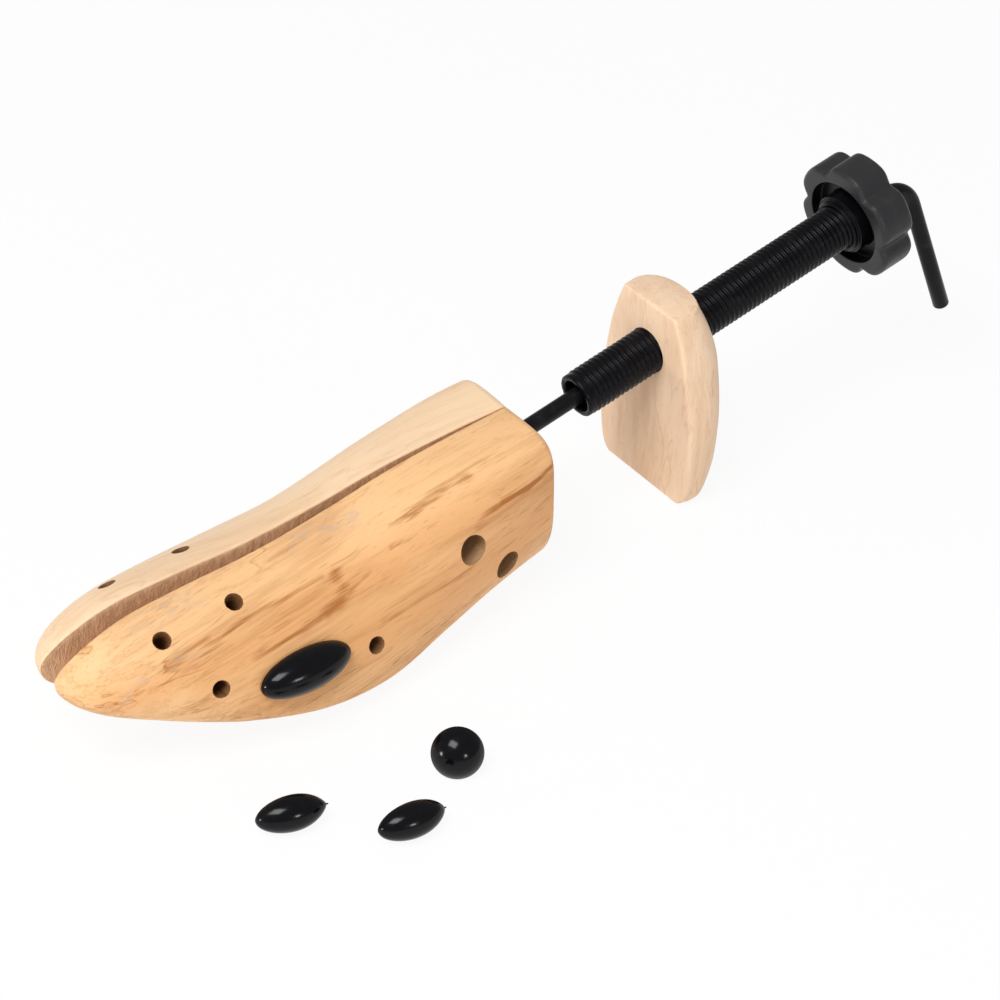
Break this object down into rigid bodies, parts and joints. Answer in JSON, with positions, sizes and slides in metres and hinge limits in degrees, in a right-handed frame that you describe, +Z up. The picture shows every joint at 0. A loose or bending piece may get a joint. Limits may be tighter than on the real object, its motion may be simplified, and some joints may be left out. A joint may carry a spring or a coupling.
{
  "type": "shoe stretcher",
  "caption": "Two-way wooden shoe stretcher: a split forefoot spread by a hooked rod, and a heel block driven along a hollow screw by a lobed knob, with plug-in pads.",
  "frame": {"origin": "centre of the heel block's flat bottom, on the floor", "axes": "+X from the toe towards the knob, +Y towards the far (right) half, +Z up"},
  "size_m": [0.3627, 0.1318, 0.0949],
  "materials": {
    "wood": "sanded, lightly sealed, straight grain with darker streaks",
    "pale_wood": "sanded, pale and slightly pink",
    "black_plastic": "satin moulded",
    "pad_plastic": "glossy moulded",
    "black_steel": "satin black",
    "steel": "turned, zinc plated"
  },
  "bodies": {
    "core": {"barrel_nut": "steel", "return_spring": "steel"},
    "left_toe": {"left_toe_half": "wood", "left_wear_plate": "steel", "left_plate_screws": "steel", "left_spring_pin": "steel"},
    "right_toe": {"right_toe_half": "wood", "right_wear_plate": "steel", "right_plate_screws": "steel", "right_spring_pin": "steel"},
    "fitted_pad": {"fitted_oval_pad": "pad_plastic"},
    "nose": {"spreader_nose": "steel"},
    "rod": {"width_rod": "black_steel", "nose_ring": "steel"},
    "heel_screw": {"screw_tube": "black_plastic", "lobed_knob": "black_plastic"},
    "heel": {"heel_block": "pale_wood"},
    "oval_pad_1": {"loose_oval_pad_1": "pad_plastic"},
    "oval_pad_2": {"loose_oval_pad_2": "pad_plastic"},
    "round_pad": {"loose_round_pad": "pad_plastic"}
  },
  "joints": [
    {"name": "rod_turn", "type": "hinge", "parent": "nose", "child": "rod", "pos_m": [-0.06702, 0, 0.04336], "axis": [-0.981, 0, -0.1942], "range_deg": [-1657, 5545]},
    {"name": "nose_travel", "type": "slide", "parent": "core", "child": "nose", "axis": [-0.981, 0, -0.1942], "range_m": [-0.0046, 0.0154]},
    {"name": "left_toe_swing", "type": "hinge", "parent": "core", "child": "left_toe", "pos_m": [-0.06771, 0, 0.05835], "axis": [-0.0454, 0, 0.999], "range_deg": [-1.27, 4.24], "deforming": ["return_spring"]},
    {"name": "right_toe_swing", "type": "hinge", "parent": "core", "child": "right_toe", "pos_m": [-0.06771, 0, 0.05835], "axis": [0.0454, 0, -0.999], "range_deg": [-1.27, 4.24]},
    {"name": "knob_turn", "type": "hinge", "parent": "nose", "child": "heel_screw", "pos_m": [-0.06702, 0, 0.04336], "axis": [-0.981, 0, -0.1942], "range_deg": [-5041, 7921]},
    {"name": "heel_travel", "type": "slide", "parent": "nose", "child": "heel", "axis": [0.981, 0, 0.1942], "range_m": [-0.028, 0.044]},
    {"name": "pad_pull", "type": "slide", "parent": "left_toe", "child": "fitted_pad", "axis": [-0.0566, -0.8924, 0.4477], "range_m": [0, 0.012]},
    {"name": "oval_pad_1_lift", "type": "slide", "parent": "core", "child": "oval_pad_1", "axis": [0, 0, 1], "range_m": [0, 0.05]},
    {"name": "oval_pad_2_lift", "type": "slide", "parent": "core", "child": "oval_pad_2", "axis": [0, 0, 1], "range_m": [0, 0.05]},
    {"name": "round_pad_lift", "type": "slide", "parent": "core", "child": "round_pad", "axis": [0, 0, 1], "range_m": [0, 0.05]}
  ],
  "couplings": [
    {"joint": "rod_turn", "follows": "nose_travel", "rad_per_m": 6283.2},
    {"joint": "left_toe_swing", "follows": "nose_travel", "rad_per_m": 4.7997},
    {"joint": "right_toe_swing", "follows": "nose_travel", "rad_per_m": 4.7997},
    {"joint": "knob_turn", "follows": "heel_travel", "rad_per_m": 3141.6}
  ]
}
